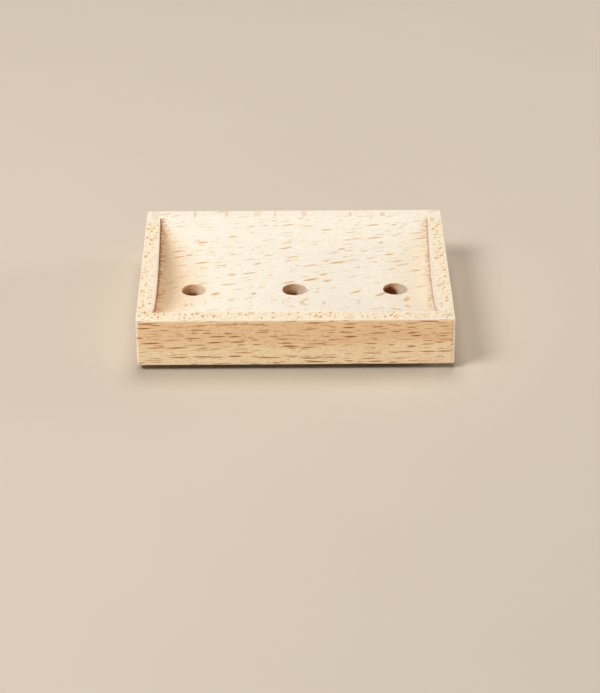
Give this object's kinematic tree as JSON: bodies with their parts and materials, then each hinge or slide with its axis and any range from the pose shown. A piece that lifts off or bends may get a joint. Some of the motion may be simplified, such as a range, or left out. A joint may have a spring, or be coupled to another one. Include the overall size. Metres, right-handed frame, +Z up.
{
  "type": "soap dish",
  "caption": "Rectangular soap dish milled from a beech block: a scooped bed with square end walls, a row of round drain holes along its lowest line, and rubber feet underneath.",
  "frame": {"origin": "on the surface that the dish stands on, under the middle of the block", "axes": "+X along the block's length and its grain, +Y from the front to the back, +Z up out of the bed"},
  "size_m": [0.125, 0.1, 0.0222],
  "materials": {
    "beech": "bare, sanded, matt",
    "rubber": "matt, moulded"
  },
  "bodies": {
    "root": {"dish_block": "beech", "foot_front_left": "rubber", "foot_front_right": "rubber", "foot_rear_left": "rubber", "foot_rear_right": "rubber"}
  },
  "joints": []
}
